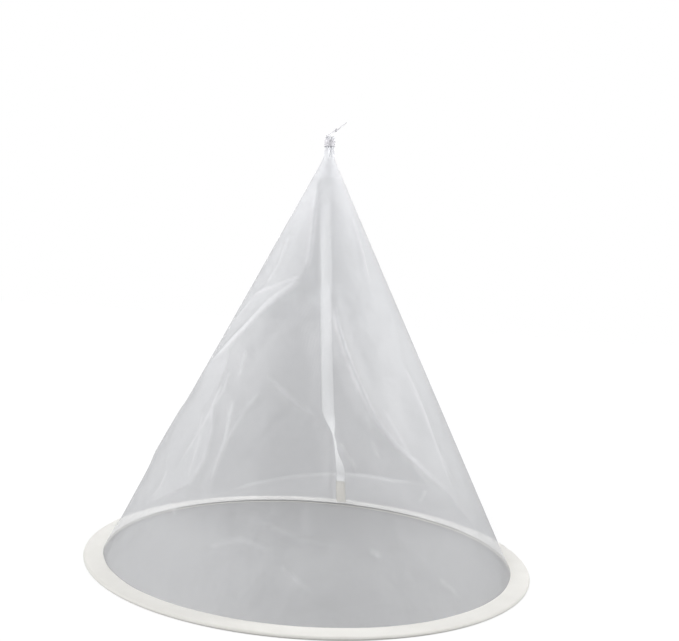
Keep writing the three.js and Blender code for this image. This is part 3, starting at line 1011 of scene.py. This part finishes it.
wear(net, net_material())
wear(rim_tape, tape_material())
wear(seam_tape_end, tab_material())
wear(seam, seam_material())
thread_look = thread_material()
for sewn in (rim_stitches, seam_stitches, tip_thread):
    wear(sewn, thread_look)
hoop_look = hoop_material()
for hoop_slot in bpy.data.objects["rim_hoop"].material_slots:
    hoop_slot.material = hoop_look


# Stage
def make_camera():
    """The camera as fitted to the picture, rolled by about 4 degrees."""
    data = bpy.data.cameras.new("camera")
    data.lens = LENS
    data.sensor_width = SENSOR
    data.clip_start = 0.01
    camera = bpy.data.objects.new("camera", data)
    bpy.context.scene.collection.objects.link(camera)
    right = Vector(CAMERA_RIGHT).normalized()
    up = Vector(CAMERA_UP).normalized()
    back = right.cross(up).normalized()
    turn = Matrix((right, up, back)).transposed().to_4x4()
    camera.matrix_world = Matrix.Translation(Vector(CAMERA_PLACE)) @ turn
    bpy.context.scene.camera = camera


def seen_directly(tree):
    """1 for what the camera sees with no net in front of it, and the path node that says so."""
    path = tree.nodes.new("ShaderNodeLightPath")
    bare = math_node(tree, "LESS_THAN", path.outputs["Transparent Depth"], 0.5)
    return math_node(tree, "MULTIPLY", path.outputs["Is Camera Ray"], bare), path


def make_floor():
    """A floor that the camera sees as white, as the picture's whitened surroundings, or else as grey."""
    places = [(x * FLOOR_HALF, y * FLOOR_HALF, 0.0) for y in (-1, 1) for x in (-1, 1)]
    floor = add_mesh("floor", places, [(0, 1, 3, 2)], False)
    material, tree, shader = new_material("floor_white", (FLOOR_GREY, FLOOR_GREY, FLOOR_GREY), 0.9)
    shader.inputs["Specular IOR Level"].default_value = 0.0
    direct, _ = seen_directly(tree)
    glow = tree.nodes.new("ShaderNodeEmission")
    glow.inputs["Strength"].default_value = FLOOR_GLOW
    pale = tree.nodes.new("ShaderNodeBsdfDiffuse")
    pale.inputs["Color"].default_value = (FLOOR_DIRECT_GREY, FLOOR_DIRECT_GREY, FLOOR_DIRECT_GREY, 1)
    white = tree.nodes.new("ShaderNodeAddShader")
    tree.links.new(glow.outputs[0], white.inputs[0])
    tree.links.new(pale.outputs[0], white.inputs[1])
    mix = tree.nodes.new("ShaderNodeMixShader")
    tree.links.new(direct, mix.inputs["Fac"])
    tree.links.new(shader.outputs[0], mix.inputs[1])
    tree.links.new(white.outputs[0], mix.inputs[2])
    tree.links.new(mix.outputs[0], tree.nodes["Material Output"].inputs["Surface"])
    wear(floor, material)


def add_sun(name, toward, strength, softness):
    data = bpy.data.lights.new(name, "SUN")
    data.energy = strength
    data.angle = math.radians(softness)
    lamp = bpy.data.objects.new(name, data)
    bpy.context.scene.collection.objects.link(lamp)
    lamp.rotation_euler = Vector(toward).to_track_quat("-Z", "Y").to_euler()


def add_spot(name, place, aim, power, spread):
    """A soft spot that fades out from the middle of its beam."""
    data = bpy.data.lights.new(name, "SPOT")
    data.energy = power
    data.spot_size = math.radians(spread)
    data.spot_blend = 1.0
    data.shadow_soft_size = SPOT_SIZE
    lamp = bpy.data.objects.new(name, data)
    bpy.context.scene.collection.objects.link(lamp)
    lamp.location = place
    lamp.rotation_euler = (Vector(aim) - Vector(place)).to_track_quat("-Z", "Y").to_euler()


def make_world():
    """Grey walls behind the net, white ones where nothing is in front, and soft light from all sides."""
    world = bpy.data.worlds.new("studio")
    world.use_nodes = True
    tree = world.node_tree
    tree.nodes.clear()
    out = tree.nodes.new("ShaderNodeOutputWorld")
    direct, path = seen_directly(tree)

    def background(strength, color):
        node = tree.nodes.new("ShaderNodeBackground")
        node.inputs["Color"].default_value = (*color, 1)
        node.inputs["Strength"].default_value = strength
        return node.outputs[0]

    def either(factor, first, second):
        mix = tree.nodes.new("ShaderNodeMixShader")
        for socket, source in zip(mix.inputs, (factor, first, second)):
            tree.links.new(source, socket)
        return mix.outputs[0]

    lit = background(WORLD_LIGHT, WORLD_TINT)
    behind = background(WORLD_BEHIND, WORLD_TINT)
    white = background(1.0, (1, 1, 1))
    seen = either(direct, behind, white)
    tree.links.new(either(path.outputs["Is Camera Ray"], lit, seen), out.inputs["Surface"])
    bpy.context.scene.world = world


make_camera()
make_floor()
make_world()
for sun in SUNS:
    add_sun(*sun)
for spot in SPOTS:
    add_spot(*spot)
bpy.context.scene.view_settings.view_transform = "Standard"
